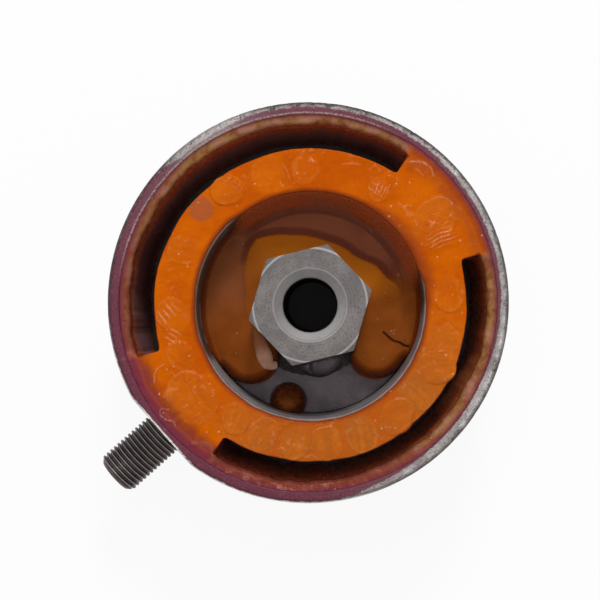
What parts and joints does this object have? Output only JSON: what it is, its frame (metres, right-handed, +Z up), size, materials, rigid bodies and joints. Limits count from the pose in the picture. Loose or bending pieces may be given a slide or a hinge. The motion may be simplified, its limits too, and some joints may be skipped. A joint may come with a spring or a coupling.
{
  "type": "engine mount",
  "caption": "Round engine mount: a polyurethane bush cast between a steel ring with a side stud and a welded core with a bolt bore.",
  "frame": {"origin": "where the bolt bore's axis meets the stud's level, half way up the ring", "axes": "+Z up the bolt bore to the hexagon's end, +X along the stud to its tip"},
  "size_m": [0.1186, 0.1, 0.057],
  "materials": {
    "ring_steel": "machined, dull, stained purple on its rim",
    "stud_steel": "rolled thread, dull",
    "core_steel": "dull",
    "boss_steel": "turned, matt",
    "polyurethane": "cast, its top trimmed with a knife",
    "polyurethane_skin": "cast, glossy skin"
  },
  "bodies": {
    "root": {"outer_ring": "ring_steel", "mounting_stud": "stud_steel", "polyurethane_bush": "polyurethane", "inner_tube": "core_steel", "web_plate": "core_steel", "hex_boss": "boss_steel", "boss_weld": "core_steel", "cup_pad": "polyurethane_skin", "wall_nub": "polyurethane_skin"}
  },
  "joints": []
}
